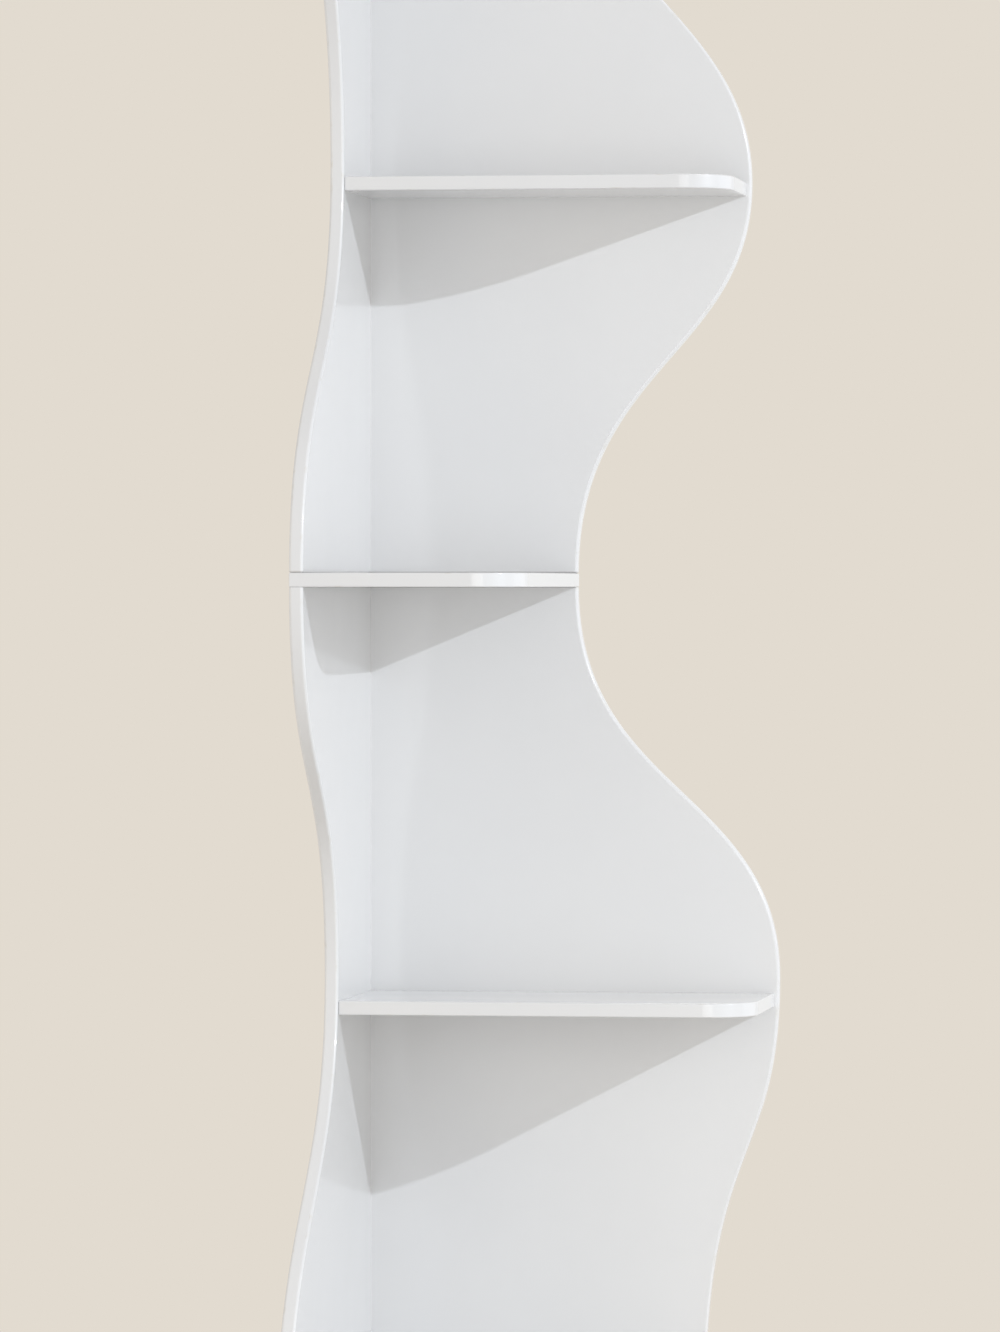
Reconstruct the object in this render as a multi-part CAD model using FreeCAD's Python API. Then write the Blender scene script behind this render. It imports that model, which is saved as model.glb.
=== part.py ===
import FreeCAD, Part
import math
import os

from FreeCAD import Placement, Rotation, Vector

# Corner shelf unit of white lacquered fibreboard, made to stand in the corner of a room.
# Two uprights meet at a right angle, and their free edges are cut in opposed waves: where one is
# wide the other is narrow. Each upright is split at half height by a level board that runs through.
# Millimetres. +Z is up, +X runs along the rear wall and -Y out into the room along the left wall.
# The origin is on the floor, under the middle of the unit's overall box.

# Boards
board = 15.0  # thickness of every board
arris = 3.0  # rounding along the wavy edges
ease = 1.2  # rounding on the edges of the level boards
free_corner = 55.0  # plan radius of a level board's free corner
shelf_setback = 5.0  # how far the two inset shelves stand behind the wavy edges

# Clear heights between level boards, from the floor up
bottom_bay = 445.0
lower_bay = 445.0
upper_bay = 413.0
top_bay = 413.0

# Wavy edge of the left upright. A reach is measured from the inner corner of the unit, a turn is
# the length of the upright tangent there, and a lift is the turn's height above the inset shelf.
left_base_reach = 529.0
left_base_turn = 257.0
left_lower_reach = 221.0
left_lower_turn = 232.0
left_lower_lift = 35.0
left_middle_reach = 445.0
left_middle_turn = 223.0
left_upper_reach = 182.0
left_upper_turn = 229.0
left_upper_lift = 20.0
left_top_reach = 370.0
left_top_turn = 110.0

# Wavy edge of the right upright, in the same terms
right_base_reach = 371.0
right_base_turn = 300.0
right_lower_reach = 453.0
right_lower_turn = 207.0
right_lower_lift = 24.0
right_middle_reach = 230.0
right_middle_turn = 228.0
right_upper_reach = 422.0
right_upper_turn = 186.0
right_upper_lift = 7.0
right_top_reach = 215.0
right_top_turn = 184.0

# Fits of the fixings in their holes
fit = 0.1  # radial clearance
hole_spare = 0.5  # depth left beyond the end of a blind fixing
breakout = 1.0  # how far a cutter starts outside the board

# Joint screws: countersunk, with a hexagon socket
screw_length = 50.0
screw_head_radius = 5.0
screw_rim = 0.6  # straight rim of the head above its cone
screw_neck_radius = 3.5
screw_thread_radius = 3.2
screw_tip_radius = 1.2
screw_tip = 5.0
screw_socket = 4.0  # width across flats
screw_socket_sides = 6
screw_socket_depth = 2.4

# Beech dowels
dowel_radius = 4.0
dowel_length = 35.0
through_dowel_length = 60.0
dowel_bevel = 0.8
dowel_skin = 4.5  # board left behind a dowel that enters a face

# Cam locks in the wall side of the uprights, and their bolts
cam_radius = 7.5
cam_distance = 24.0  # from the upright's end to the middle of the cam
cam_skin = 2.5  # board left behind a cam
cam_cross_length = 8.0
cam_cross_width = 1.6
cam_cross_depth = 2.2
cam_play = 0.4  # extra room in the side slot where a bolt head enters a cam
bolt_radius = 3.5
bolt_neck_radius = 2.2
bolt_head = 3.0
bolt_thread_radius = 2.5
bolt_skin = 4.0  # board left above a bolt screwed into the top board

# Places of the fixings
fixing_inset = 60.0  # from the inner corner, and from the wavy edge, to the first cam or screw
dowel_inset = 30.0  # the same for the dowels
shelf_screw_inset = 45.0  # from an inset shelf's free end to its last screw
corner_screw_inset = 100.0  # from an upright's end to the first screw in the corner joint

# Nail-on floor glides
glide_height = 4.0
glide_radius = 11.0
glide_round = 1.5
glide_inset = 30.0  # from the base board's edges
nail_radius = 1.0
nail_head_radius = 3.0
nail_head = 1.0
nail_recess = 1.5  # depth of the nail head's seat above the floor
nail_skin = 3.0  # board left above a nail

# Steel angles on the top board that tie the unit to both walls
bracket_width = 60.0
bracket_plate = 2.0
bracket_foot = 40.0
bracket_rise = 30.0
bracket_corner = 4.0
bracket_hole_pitch = 40.0
wall_hole_radius = 2.75
foot_hole_radius = 2.25
foot_screw_radius = 1.8
foot_screw_head_radius = 4.0
foot_screw_head = 2.5
foot_screw_skin = 5.0  # board left under a bracket screw

# Levels, from the floor up
base_bottom = glide_height
base_top = base_bottom + board
lower_shelf_bottom = base_top + bottom_bay
middle_bottom = lower_shelf_bottom + board + lower_bay
middle_top = middle_bottom + board
upper_shelf_bottom = middle_top + upper_bay
top_bottom = upper_shelf_bottom + board + top_bay
top_top = top_bottom + board

# The inner corner's place, with the overall box centred on the origin
right_reaches = (right_base_reach, right_lower_reach, right_middle_reach, right_upper_reach, right_top_reach)
left_reaches = (left_base_reach, left_lower_reach, left_middle_reach, left_upper_reach, left_top_reach)
inner_x = (board - max(right_reaches)) / 2
inner_y = (max(left_reaches) - board) / 2

LEFT = Vector(-1, 0, 0)
RIGHT = Vector(1, 0, 0)
FRONT = Vector(0, -1, 0)
REAR = Vector(0, 1, 0)
UP = Vector(0, 0, 1)
DOWN = Vector(0, 0, -1)


def at(right, front, height):
    """Point given by its distances to the right and to the front of the inner corner."""
    return Vector(inner_x + right, inner_y - front, height)


# Waves: height, reach and tangent length at each turn, from the bottom of the upright to its top
left_lower_wave = [
    (base_top, left_base_reach, left_base_turn),
    (lower_shelf_bottom + board / 2 + left_lower_lift, left_lower_reach, left_lower_turn),
    (middle_bottom, left_middle_reach, left_middle_turn),
]
left_upper_wave = [
    (middle_top, left_middle_reach, left_middle_turn),
    (upper_shelf_bottom + board / 2 + left_upper_lift, left_upper_reach, left_upper_turn),
    (top_bottom, left_top_reach, left_top_turn),
]
right_lower_wave = [
    (base_top, right_base_reach, right_base_turn),
    (lower_shelf_bottom + board / 2 + right_lower_lift, right_lower_reach, right_lower_turn),
    (middle_bottom, right_middle_reach, right_middle_turn),
]
right_upper_wave = [
    (middle_top, right_middle_reach, right_middle_turn),
    (upper_shelf_bottom + board / 2 + right_upper_lift, right_upper_reach, right_upper_turn),
    (top_bottom, right_top_reach, right_top_turn),
]


def on_left_face(reach, height):
    """Point of the left upright's outer face."""
    return at(-board, reach, height)


def on_right_face(reach, height):
    """Point of the right upright's inner face."""
    return at(reach, 0, height)


def wavy_edges(wave, place):
    """One smooth curve from each turn of a wave to the next, upright at both ends."""
    edges = []
    for (low, low_reach, low_turn), (high, high_reach, high_turn) in zip(wave, wave[1:]):
        curve = Part.BezierCurve()
        curve.setPoles([
            place(low_reach, low),
            place(low_reach, low + low_turn),
            place(high_reach, high - high_turn),
            place(high_reach, high),
        ])
        edges.append(curve.toShape())
    return edges


def reach_at(wave, height):
    """Reach of a wavy edge at one height."""
    edge = Part.Wire(wavy_edges(wave, lambda reach, level: Vector(reach, 0, level)))
    longest = 2 * max(reach for _, reach, _ in wave)
    level_line = Part.makeLine(Vector(0, 0, height), Vector(longest, 0, height))
    return edge.distToShape(level_line)[1][0][0].x


def upright(wave, back, place, across):
    """Wavy-edged board: its outline drawn on one face and carried across its thickness."""
    bottom, first_reach, _ = wave[0]
    top, last_reach, _ = wave[-1]
    edges = [Part.makeLine(place(back, bottom), place(first_reach, bottom))]
    edges += wavy_edges(wave, place)
    edges.append(Part.makeLine(place(last_reach, top), place(back, top)))
    edges.append(Part.makeLine(place(back, top), place(back, bottom)))
    blank = Part.Face(Part.Wire(edges)).extrude(across)
    wavy = [edge for edge in blank.Edges if not isinstance(edge.Curve, Part.Line)]
    return blank.makeFillet(arris, wavy)


def level_board(back, right, front, bottom):
    """Rectangular board with one rounded free corner and eased edges; back is its rear-left offset."""
    blank = Part.makeBox(right - back, front - back, board, at(back, front, bottom))
    corners = [at(back, back, 0), at(back, front, 0), at(right, back, 0), at(right, front, 0)]

    def stands_on(edge, corner):
        middle = edge.CenterOfMass
        return math.hypot(middle.x - corner.x, middle.y - corner.y) < ease

    free_edge = [edge for edge in blank.Edges if stands_on(edge, corners[3])]
    blank = blank.makeFillet(free_corner, free_edge)
    square = [edge for edge in blank.Edges if any(stands_on(edge, corner) for corner in corners[:3])]
    level = [edge for edge in blank.Edges if edge.BoundBox.ZLength < ease]
    return blank.makeFillet(ease, square + level)


def turned(profile, start, direction):
    """Solid of revolution from (radius, distance) pairs along an axis."""
    outline = [Vector(0, 0, profile[0][1])]
    outline += [Vector(radius, 0, distance) for radius, distance in profile]
    outline += [Vector(0, 0, profile[-1][1]), outline[0]]
    solid = Part.Face(Part.makePolygon(outline)).revolve(Vector(), UP, 360)
    solid.Placement = Placement(start, Rotation(UP, direction))
    return solid


def grown(profile):
    """Profile of the hole that a turned fixing fits."""
    wider = [(radius + fit, distance) for radius, distance in profile]
    first_radius, first_distance = wider[0]
    last_radius, last_distance = wider[-1]
    return [(first_radius, first_distance - breakout)] + wider + [(last_radius, last_distance + hole_spare)]


pieces = {}
holes = {}


def drill(cutter, *boards):
    """Take a hole out of each of the boards that it passes through."""
    for name in boards:
        holes.setdefault(name, []).append(cutter)


def add_screw(node, head, direction, *boards):
    """Joint screw through one board's face into another's edge, with its head flush."""
    cone_end = screw_rim + screw_head_radius - screw_neck_radius
    profile = [
        (screw_head_radius, 0),
        (screw_head_radius, screw_rim),
        (screw_neck_radius, cone_end),
        (screw_neck_radius, board),
        (screw_thread_radius, board),
        (screw_thread_radius, screw_length - screw_tip),
        (screw_tip_radius, screw_length),
    ]
    corner_radius = screw_socket / 2 / math.cos(math.pi / screw_socket_sides)
    ring = [Vector(corner_radius, 0, 0)]
    for step in range(1, screw_socket_sides + 1):
        ring.append(Rotation(UP, 360 / screw_socket_sides * step).multVec(ring[0]))
    socket = Part.Face(Part.makePolygon(ring)).extrude(UP * screw_socket_depth)
    socket.Placement = Placement(head, Rotation(UP, direction))
    pieces.setdefault(node, []).append(turned(profile, head, direction).cut(socket))
    drill(turned(grown(profile), head, direction), *boards)


def add_dowel(node, start, direction, length, *boards):
    """Beech dowel with bevelled ends."""
    profile = [
        (dowel_radius - dowel_bevel, 0),
        (dowel_radius, dowel_bevel),
        (dowel_radius, length - dowel_bevel),
        (dowel_radius - dowel_bevel, length),
    ]
    hole = [(dowel_radius + fit, -hole_spare), (dowel_radius + fit, length + hole_spare)]
    pieces.setdefault(node, []).append(turned(profile, start, direction))
    drill(turned(hole, start, direction), *boards)


def add_cam(node, face_point, inward, bolt_way, upright_name):
    """Round cam lock let into an upright's wall side; its jaws hold a bolt head on the board's mid-plane."""
    pocket_depth = board - cam_skin
    depth = pocket_depth - hole_spare
    body = Part.makeCylinder(cam_radius - fit, depth, face_point, inward)
    heart = face_point + inward * (board / 2)
    seat_half = bolt_head / 2 + fit
    seat = Part.makeCylinder(bolt_radius + fit, 2 * seat_half, heart - bolt_way * seat_half, bolt_way)
    jaw = Part.makeCylinder(bolt_neck_radius + fit, cam_radius, heart, bolt_way)
    side_way = inward.cross(bolt_way)
    entry = Part.makeCylinder(bolt_radius + cam_play, cam_radius, heart, side_way)
    cutters = [seat, jaw, entry]
    for long_way, short_way in ((bolt_way, side_way), (side_way, bolt_way)):
        corner = face_point - long_way * (cam_cross_length / 2) - short_way * (cam_cross_width / 2)
        across = short_way * cam_cross_width
        rim = [corner, corner + across, corner + across + long_way * cam_cross_length]
        rim += [corner + long_way * cam_cross_length, corner]
        cutters.append(Part.Face(Part.makePolygon(rim)).extrude(inward * cam_cross_depth))
    pieces.setdefault(node, []).append(body.cut(cutters))
    mouth = face_point - inward * breakout
    drill(Part.makeCylinder(cam_radius, pocket_depth + breakout, mouth, inward), upright_name)


def bolt_end(cam_centre):
    """Head and neck of a cam bolt, from the tip back to the shank."""
    return [
        (bolt_radius, cam_centre + bolt_head / 2),
        (bolt_radius, cam_centre - bolt_head / 2),
        (bolt_neck_radius, cam_centre - bolt_head / 2),
        (bolt_neck_radius, cam_centre - cam_radius),
        (bolt_radius, cam_centre - cam_radius),
    ]


# Level boards
middle_right = right_middle_reach
middle_front = left_middle_reach
shelf_right = {
    "lower_shelf": reach_at(right_lower_wave, lower_shelf_bottom + board / 2) - shelf_setback,
    "upper_shelf": reach_at(right_upper_wave, upper_shelf_bottom + board / 2) - shelf_setback,
}
shelf_front = {
    "lower_shelf": reach_at(left_lower_wave, lower_shelf_bottom + board / 2) - shelf_setback,
    "upper_shelf": reach_at(left_upper_wave, upper_shelf_bottom + board / 2) - shelf_setback,
}
boards = {
    "base_board": level_board(-board, right_base_reach, left_base_reach, base_bottom),
    "lower_shelf": level_board(0, shelf_right["lower_shelf"], shelf_front["lower_shelf"], lower_shelf_bottom),
    "middle_board": level_board(-board, middle_right, middle_front, middle_bottom),
    "upper_shelf": level_board(0, shelf_right["upper_shelf"], shelf_front["upper_shelf"], upper_shelf_bottom),
    "top_board": level_board(-board, right_top_reach, left_top_reach, top_bottom),
}

# Uprights: the left one runs through to the rear wall, and the right one butts against it
boards["lower_left_panel"] = upright(left_lower_wave, -board, on_left_face, RIGHT * board)
boards["lower_right_panel"] = upright(right_lower_wave, 0, on_right_face, REAR * board)
boards["upper_left_panel"] = upright(left_upper_wave, -board, on_left_face, RIGHT * board)
boards["upper_right_panel"] = upright(right_upper_wave, 0, on_right_face, REAR * board)

# Corner joints: screws and dowels through the left upright into the end of the right one
for section, bottom, top in (("lower", base_top, middle_bottom), ("upper", middle_top, top_bottom)):
    panels = (section + "_left_panel", section + "_right_panel")
    first = bottom + corner_screw_inset
    last = top - corner_screw_inset
    for share in (0, 0.5, 1):
        height = first + share * (last - first)
        add_screw(section + "_corner_screws", at(-board, -board / 2, height), RIGHT, *panels)
    for share in (0.25, 0.75):
        height = first + share * (last - first)
        sunk = board - dowel_skin
        add_dowel(section + "_corner_dowels", at(-sunk, -board / 2, height), RIGHT, dowel_length, *panels)

# Inset shelves: screws and dowels through both uprights into the shelf's end and rear edge
for section, bottom in (("lower", lower_shelf_bottom), ("upper", upper_shelf_bottom)):
    shelf = section + "_shelf"
    left_panel = section + "_left_panel"
    right_panel = section + "_right_panel"
    height = bottom + board / 2
    sunk = board - dowel_skin
    end_first = fixing_inset
    end_last = shelf_front[shelf] - shelf_screw_inset
    for share in (0, 1):
        along = end_first + share * (end_last - end_first)
        add_screw(shelf + "_screws", at(-board, along, height), RIGHT, left_panel, shelf)
    along = (end_first + end_last) / 2
    add_dowel(shelf + "_dowels", at(-sunk, along, height), RIGHT, dowel_length, left_panel, shelf)
    rear_first = fixing_inset
    rear_last = shelf_right[shelf] - shelf_screw_inset
    for share in (0, 0.5, 1):
        along = rear_first + share * (rear_last - rear_first)
        add_screw(shelf + "_screws", at(along, -board, height), FRONT, right_panel, shelf)
    for share in (0.25, 0.75):
        along = rear_first + share * (rear_last - rear_first)
        add_dowel(shelf + "_dowels", at(along, -sunk, height), FRONT, dowel_length, right_panel, shelf)


def panel_places(front, right, inset):
    """Side, point on the mid-plane and wall side's point of the fixings at the ends of both uprights."""
    places = []
    for along in (inset, front - inset):
        places.append(("left", at(-board / 2, along, 0), at(-board, along, 0), RIGHT))
    for along in (inset, right - inset):
        places.append(("right", at(along, -board / 2, 0), at(along, -board, 0), FRONT))
    return places


# Base board: screwed up into both uprights from below
for side, middle, _, _ in panel_places(left_base_reach, right_base_reach, fixing_inset):
    panel = "lower_" + side + "_panel"
    add_screw("base_board_screws", middle + UP * base_bottom, UP, "base_board", panel)
for side, middle, _, _ in panel_places(left_base_reach, right_base_reach, dowel_inset):
    panel = "lower_" + side + "_panel"
    start = middle + UP * (base_bottom + dowel_skin)
    add_dowel("base_board_dowels", start, UP, dowel_length, "base_board", panel)

# Middle board: clamped between the lower and upper uprights by bolts with a cam at each end
middle_plane = middle_bottom + board / 2
cam_reach = board / 2 + cam_distance
for side, middle, face, inward in panel_places(middle_front, middle_right, fixing_inset):
    lower_panel = "lower_" + side + "_panel"
    upper_panel = "upper_" + side + "_panel"
    heart = middle + UP * middle_plane
    upper_end = bolt_end(cam_reach)
    lower_end = [(radius, -distance) for radius, distance in reversed(upper_end)]
    pieces.setdefault("middle_board_bolts", []).append(turned(upper_end + lower_end, heart, UP))
    shank_hole = [(bolt_radius + fit, -cam_reach), (bolt_radius + fit, cam_reach)]
    drill(turned(shank_hole, heart, UP), "middle_board", lower_panel, upper_panel)
    add_cam("middle_board_cams", face + UP * (middle_plane + cam_reach), inward, DOWN, upper_panel)
    add_cam("middle_board_cams", face + UP * (middle_plane - cam_reach), inward, UP, lower_panel)
for side, middle, _, _ in panel_places(middle_front, middle_right, dowel_inset):
    lower_panel = "lower_" + side + "_panel"
    upper_panel = "upper_" + side + "_panel"
    start = middle + UP * (middle_plane - through_dowel_length / 2)
    add_dowel("middle_board_dowels", start, UP, through_dowel_length, "middle_board", lower_panel, upper_panel)

# Top board: bolts screwed into its underside, held by cams in the upper uprights
for side, middle, face, inward in panel_places(left_top_reach, right_top_reach, fixing_inset):
    panel = "upper_" + side + "_panel"
    seat = middle + UP * top_bottom
    thread_length = board - bolt_skin
    profile = [(bolt_thread_radius, -thread_length), (bolt_thread_radius, 0), (bolt_radius, 0)]
    profile += reversed(bolt_end(cam_distance))
    pieces.setdefault("top_board_bolts", []).append(turned(profile, seat, DOWN))
    drill(turned([(bolt_radius + fit, 0), (bolt_radius + fit, cam_distance)], seat, DOWN), panel)
    thread_hole = [(bolt_thread_radius + fit, 0), (bolt_thread_radius + fit, thread_length + hole_spare)]
    drill(turned(thread_hole, seat, UP), "top_board")
    add_cam("top_board_cams", face + UP * (top_bottom - cam_distance), inward, UP, panel)
for side, middle, _, _ in panel_places(left_top_reach, right_top_reach, dowel_inset):
    panel = "upper_" + side + "_panel"
    start = middle + UP * (top_top - dowel_skin)
    add_dowel("top_board_dowels", start, DOWN, dowel_length, "top_board", panel)

# Floor glides: plastic discs nailed under the base board near its corners
rear_offset = glide_inset - board
for right, front in (
    (rear_offset, rear_offset),
    (rear_offset, left_base_reach - glide_inset),
    (right_base_reach - glide_inset, rear_offset),
    (right_base_reach - glide_inset, left_base_reach - glide_inset),
):
    foot = at(right, front, 0)
    disc = Part.makeCylinder(glide_radius, glide_height, foot, UP)
    rim = [edge for edge in disc.Edges if edge.BoundBox.ZMax < glide_round]
    disc = disc.makeFillet(glide_round, rim)
    nail_top = base_top - nail_skin
    nail = [
        (nail_head_radius, nail_recess - nail_head),
        (nail_head_radius, nail_recess),
        (nail_radius, nail_recess),
        (nail_radius, nail_top),
    ]
    pieces.setdefault("floor_glides", []).append(disc.cut(turned(grown(nail), foot, UP)))
    pieces.setdefault("glide_nails", []).append(turned(nail, foot, UP))
    drill(Part.makeCylinder(nail_radius + fit, nail_top + hole_spare, foot, UP), "base_board")


def wall_bracket(centre, wall_way, along):
    """Bent steel angle: a foot on the top board and a leg flat against the wall, two holes in each."""
    half = along * (bracket_width / 2)
    profile = [
        centre,
        centre - wall_way * bracket_foot,
        centre - wall_way * bracket_foot + UP * bracket_plate,
        centre - wall_way * bracket_plate + UP * bracket_plate,
        centre - wall_way * bracket_plate + UP * bracket_rise,
        centre + UP * bracket_rise,
        centre,
    ]
    section = Part.makePolygon([point - half for point in profile])
    angle = Part.Face(section).extrude(along * bracket_width)
    tips = []
    for edge in angle.Edges:
        middle = edge.CenterOfMass - centre
        outer_end = abs(abs(middle.dot(along)) - bracket_width / 2) < fit
        leg_tip = abs(middle.z - bracket_rise) < fit or abs(middle.dot(wall_way) + bracket_foot) < fit
        if outer_end and leg_tip and edge.Length < 2 * bracket_plate:
            tips.append(edge)
    angle = angle.makeFillet(bracket_corner, tips)
    foot_middle = centre - wall_way * (bracket_foot / 2)
    for side in (-1, 1):
        shift = along * (side * bracket_hole_pitch / 2)
        wall_hole = centre + shift + UP * ((bracket_plate + bracket_rise) / 2) + wall_way * breakout
        drilled = Part.makeCylinder(wall_hole_radius, bracket_plate + 2 * breakout, wall_hole, wall_way * -1)
        foot_hole = Part.makeCylinder(foot_hole_radius, 2 * bracket_plate, foot_middle + shift, UP)
        angle = angle.cut([drilled, foot_hole])
        head_seat = foot_middle + shift + UP * bracket_plate
        shank = bracket_plate + board - foot_screw_skin
        screw = [
            (foot_screw_head_radius, -foot_screw_head),
            (foot_screw_head_radius, 0),
            (foot_screw_radius, 0),
            (foot_screw_radius, shank - foot_screw_radius),
            (foot_screw_radius / 2, shank),
        ]
        pieces.setdefault("bracket_screws", []).append(turned(screw, head_seat, DOWN))
        drill(turned([(foot_screw_radius + fit, 0), (foot_screw_radius + fit, shank)], head_seat, DOWN), "top_board")
    pieces.setdefault("wall_brackets", []).append(angle)


# Wall brackets: one behind each arm of the top board
wall_bracket(at(right_top_reach / 2, -board, top_top), REAR, RIGHT)
wall_bracket(at(-board, left_top_reach / 2, top_top), LEFT, FRONT)

# One file for each board, and one for each group of like fixings
os.makedirs("parts", exist_ok=True)
for name, shape in boards.items():
    shape.cut(holes[name]).exportStep("parts/" + name + ".step")
for name, solids in pieces.items():
    Part.makeCompound(solids).exportStep("parts/" + name + ".step")
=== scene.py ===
import math

import bmesh
import bpy
from mathutils import Matrix, Vector
from mathutils.geometry import interpolate_bezier


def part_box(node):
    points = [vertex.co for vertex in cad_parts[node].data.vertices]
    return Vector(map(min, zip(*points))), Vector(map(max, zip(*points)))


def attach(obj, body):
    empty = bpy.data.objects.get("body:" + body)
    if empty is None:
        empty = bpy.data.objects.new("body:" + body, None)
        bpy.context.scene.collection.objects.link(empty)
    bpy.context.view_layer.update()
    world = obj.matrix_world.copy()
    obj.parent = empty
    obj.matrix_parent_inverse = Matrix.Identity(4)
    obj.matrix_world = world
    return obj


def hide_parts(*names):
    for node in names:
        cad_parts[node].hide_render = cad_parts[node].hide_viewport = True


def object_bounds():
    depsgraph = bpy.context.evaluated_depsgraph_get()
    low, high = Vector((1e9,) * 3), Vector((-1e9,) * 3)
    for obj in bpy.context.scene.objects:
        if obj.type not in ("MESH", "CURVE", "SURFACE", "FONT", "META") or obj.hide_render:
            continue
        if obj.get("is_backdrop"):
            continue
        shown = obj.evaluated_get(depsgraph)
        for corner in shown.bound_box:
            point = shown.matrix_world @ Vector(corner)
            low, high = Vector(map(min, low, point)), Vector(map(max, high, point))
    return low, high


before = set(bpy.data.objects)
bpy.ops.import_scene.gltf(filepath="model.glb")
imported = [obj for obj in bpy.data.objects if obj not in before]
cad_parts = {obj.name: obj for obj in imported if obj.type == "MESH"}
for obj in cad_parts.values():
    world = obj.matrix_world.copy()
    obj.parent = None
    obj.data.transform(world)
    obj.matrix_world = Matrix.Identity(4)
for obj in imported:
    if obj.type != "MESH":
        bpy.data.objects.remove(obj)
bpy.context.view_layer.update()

# Base board: the lowest of the five level boards, on which both uprights stand. It is fibreboard, sawn
# square with one free corner rounded, its edges eased by sanding, and sprayed all over with white lacquer.
free_corner = 0.055
level_ease = 0.0012
steep_angle = math.radians(60)  # faces that meet at more than this make an edge to be rounded
crisp_angle = math.radians(40)  # faces that meet at more than this are shaded as a crisp edge


def noise(coords, scale, detail):
    """Noise over a surface; gives back its factor."""
    tree = coords.id_data
    texture = tree.nodes.new("ShaderNodeTexNoise")
    texture.inputs["Scale"].default_value = scale
    texture.inputs["Detail"].default_value = detail
    tree.links.new(coords, texture.inputs["Vector"])
    return texture.outputs["Fac"]


def spread(factor, to_low, to_high, low=0.3, high=0.7):
    """Spread the middle of a noise, from low to high, over a range of values."""
    tree = factor.id_data
    stretch = tree.nodes.new("ShaderNodeMapRange")
    stretch.inputs["From Min"].default_value = low
    stretch.inputs["From Max"].default_value = high
    stretch.inputs["To Min"].default_value = to_low
    stretch.inputs["To Max"].default_value = to_high
    tree.links.new(factor, stretch.inputs["Value"])
    return stretch.outputs["Result"]


def tones(factor, dark, light, low=0.3, high=0.7):
    """Run between two tones of a colour over the middle of a noise, from low to high."""
    tree = factor.id_data
    ramp = tree.nodes.new("ShaderNodeValToRGB")
    first, last = ramp.color_ramp.elements
    first.position, first.color = low, dark
    last.position, last.color = high, light
    tree.links.new(factor, ramp.inputs["Fac"])
    return ramp.outputs["Color"]


def overlay(under, share, tone):
    """Lay a tone over a colour by a share that differs from place to place."""
    tree = under.id_data
    mixed = tree.nodes.new("ShaderNodeMix")
    mixed.data_type = "RGBA"
    mixed.inputs["B"].default_value = tone
    tree.links.new(share, mixed.inputs["Factor"])
    tree.links.new(under, mixed.inputs["A"])
    return mixed.outputs["Result"]


def kept_to(mark, share):
    """Keep a share to the faces that carry a mark."""
    tree = share.id_data
    marked = tree.nodes.new("ShaderNodeAttribute")
    marked.attribute_name = mark
    kept = tree.nodes.new("ShaderNodeMath")
    kept.operation = "MULTIPLY"
    tree.links.new(share, kept.inputs[0])
    tree.links.new(marked.outputs["Fac"], kept.inputs[1])
    return kept.outputs["Value"]


def relief(height, strength, depth):
    """Fine relief of a surface."""
    tree = height.id_data
    bump = tree.nodes.new("ShaderNodeBump")
    bump.inputs["Strength"].default_value = strength
    bump.inputs["Distance"].default_value = depth
    tree.links.new(height, bump.inputs["Height"])
    return bump.outputs["Normal"]


def new_finish(name):
    """New material for a finish, and its shader."""
    finish = bpy.data.materials.new(name)
    finish.use_nodes = True
    return finish, finish.node_tree.nodes["Principled BSDF"]


def place_under(shader):
    """Coordinates of the piece that a finish lies on."""
    return shader.id_data.nodes.new("ShaderNodeTexCoord").outputs["Object"]


def lay_on(shader, colour, gloss, surface):
    """Give a shader its colour, its roughness and its relief."""
    links = shader.id_data.links
    links.new(colour, shader.inputs["Base Color"])
    links.new(gloss, shader.inputs["Roughness"])
    links.new(surface, shader.inputs["Normal"])


def sprayed_lacquer():
    """White satin lacquer: faintly uneven in tone and gloss, rubbed thin at arrises, and greyed in joints
    partly by dust and partly by painted shade.
    """
    finish, shader = new_finish("white_lacquer_sprayed")
    shader.inputs["Coat Weight"].default_value = 1.0
    shader.inputs["Coat Roughness"].default_value = 0.09
    place = place_under(shader)
    clouds = noise(place, scale=3.5, detail=4.0)
    coat = tones(clouds, dark=(0.745, 0.747, 0.752, 1), light=(0.772, 0.772, 0.772, 1))
    wear = spread(noise(place, scale=60.0, detail=5.0), to_low=0.0, to_high=1.0, low=0.58, high=0.75)
    coat = overlay(coat, kept_to("arris", wear), tone=(0.70, 0.685, 0.65, 1))
    # Dust and painted shade: the faces marked as joints are greyed, partly as dust and partly to paint the
    # shade that falls in the joints between boards.
    dust_and_joint_shade = spread(noise(place, scale=90.0, detail=4.0), to_low=0.75, to_high=1.0)
    coat = overlay(coat, kept_to("joint", dust_and_joint_shade), tone=(0.60, 0.59, 0.58, 1))
    gloss = spread(noise(place, scale=14.0, detail=6.0), to_low=0.30, to_high=0.42)
    orange_peel = relief(noise(place, scale=420.0, detail=2.0), strength=0.05, depth=0.0004)
    lay_on(shader, coat, gloss, orange_peel)
    return finish


white_lacquer = sprayed_lacquer()


def rounded(shape, edges, radius, steps, mark=None):
    """Round edges over, and mark the new faces where the finish treats them in its own way."""
    layers = shape.faces.layers.float
    marked = (layers.get(mark) or layers.new(mark)) if mark else None
    made = bmesh.ops.bevel(
        shape, geom=edges, offset=radius, offset_type="OFFSET", segments=steps, profile=0.5,
        affect="EDGES", clamp_overlap=False, material=-1,
    )
    if marked:
        for face in made["faces"]:
            face[marked] = 1.0


def square_edges(shape, wanted=lambda edge: True):
    """Edges at which two faces meet at a steep angle, as far as they are wanted."""
    return [edge for edge in shape.edges if edge.calc_face_angle() > steep_angle and wanted(edge)]


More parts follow.
